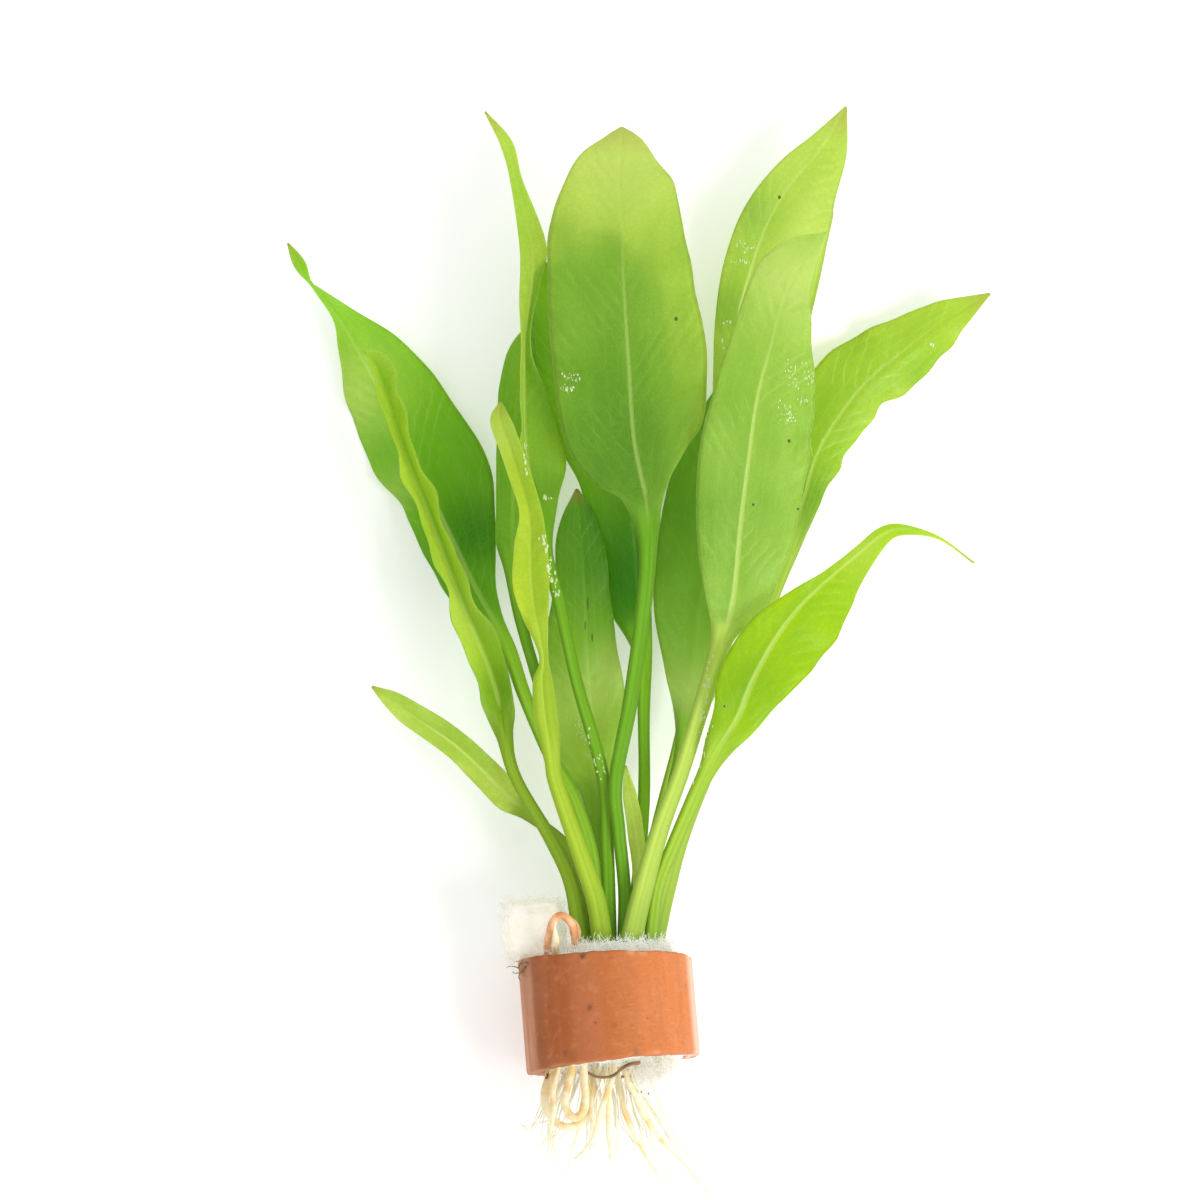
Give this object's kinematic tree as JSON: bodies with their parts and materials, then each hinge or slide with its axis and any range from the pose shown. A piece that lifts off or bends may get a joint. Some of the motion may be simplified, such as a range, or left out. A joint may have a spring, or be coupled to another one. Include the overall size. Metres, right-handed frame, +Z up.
{
  "type": "aquarium plant in a clay ring",
  "caption": "Broad-leaved rosette water plant lying on its side, with its crown wrapped in pale wool inside a short terracotta ring and loose roots behind.",
  "frame": {"origin": "middle of the flat of the clay ring that the plant rests on", "axes": "+Y from the roots to the leaf tips, +Z up away from the table, +X to the right seen from above"},
  "size_m": [0.1668, 0.2573, 0.0407],
  "materials": {
    "clay": "matte",
    "wool": "matte",
    "crown": "matte",
    "leaf": "satin",
    "leaf_lime": "satin",
    "root": "satin",
    "root_orange": "satin"
  },
  "bodies": {
    "root": {"clay_ring": "clay", "wool_plug": "wool", "crown": "crown", "leaf_front_broad": "leaf", "leaf_right_front": "leaf", "leaf_right_droop": "leaf_lime", "leaf_right_far": "leaf", "leaf_right_back": "leaf", "leaf_right_inner": "leaf", "leaf_young": "leaf", "leaf_centre_back": "leaf", "leaf_centre_low": "leaf", "leaf_tall_folded": "leaf", "leaf_yellow_twist": "leaf_lime", "leaf_left_broad": "leaf", "leaf_left_folded": "leaf", "leaf_left_small": "leaf_lime", "leaf_left_back": "leaf", "root_outer_loop": "root", "root_inner_loop": "root", "root_left_edge": "root", "root_centre_left": "root", "root_centre": "root", "root_centre_cross": "root", "root_right_long": "root", "root_right_middle": "root", "root_orange_loop": "root_orange", "root_orange_short": "root_orange", "root_cream": "root"}
  },
  "joints": []
}
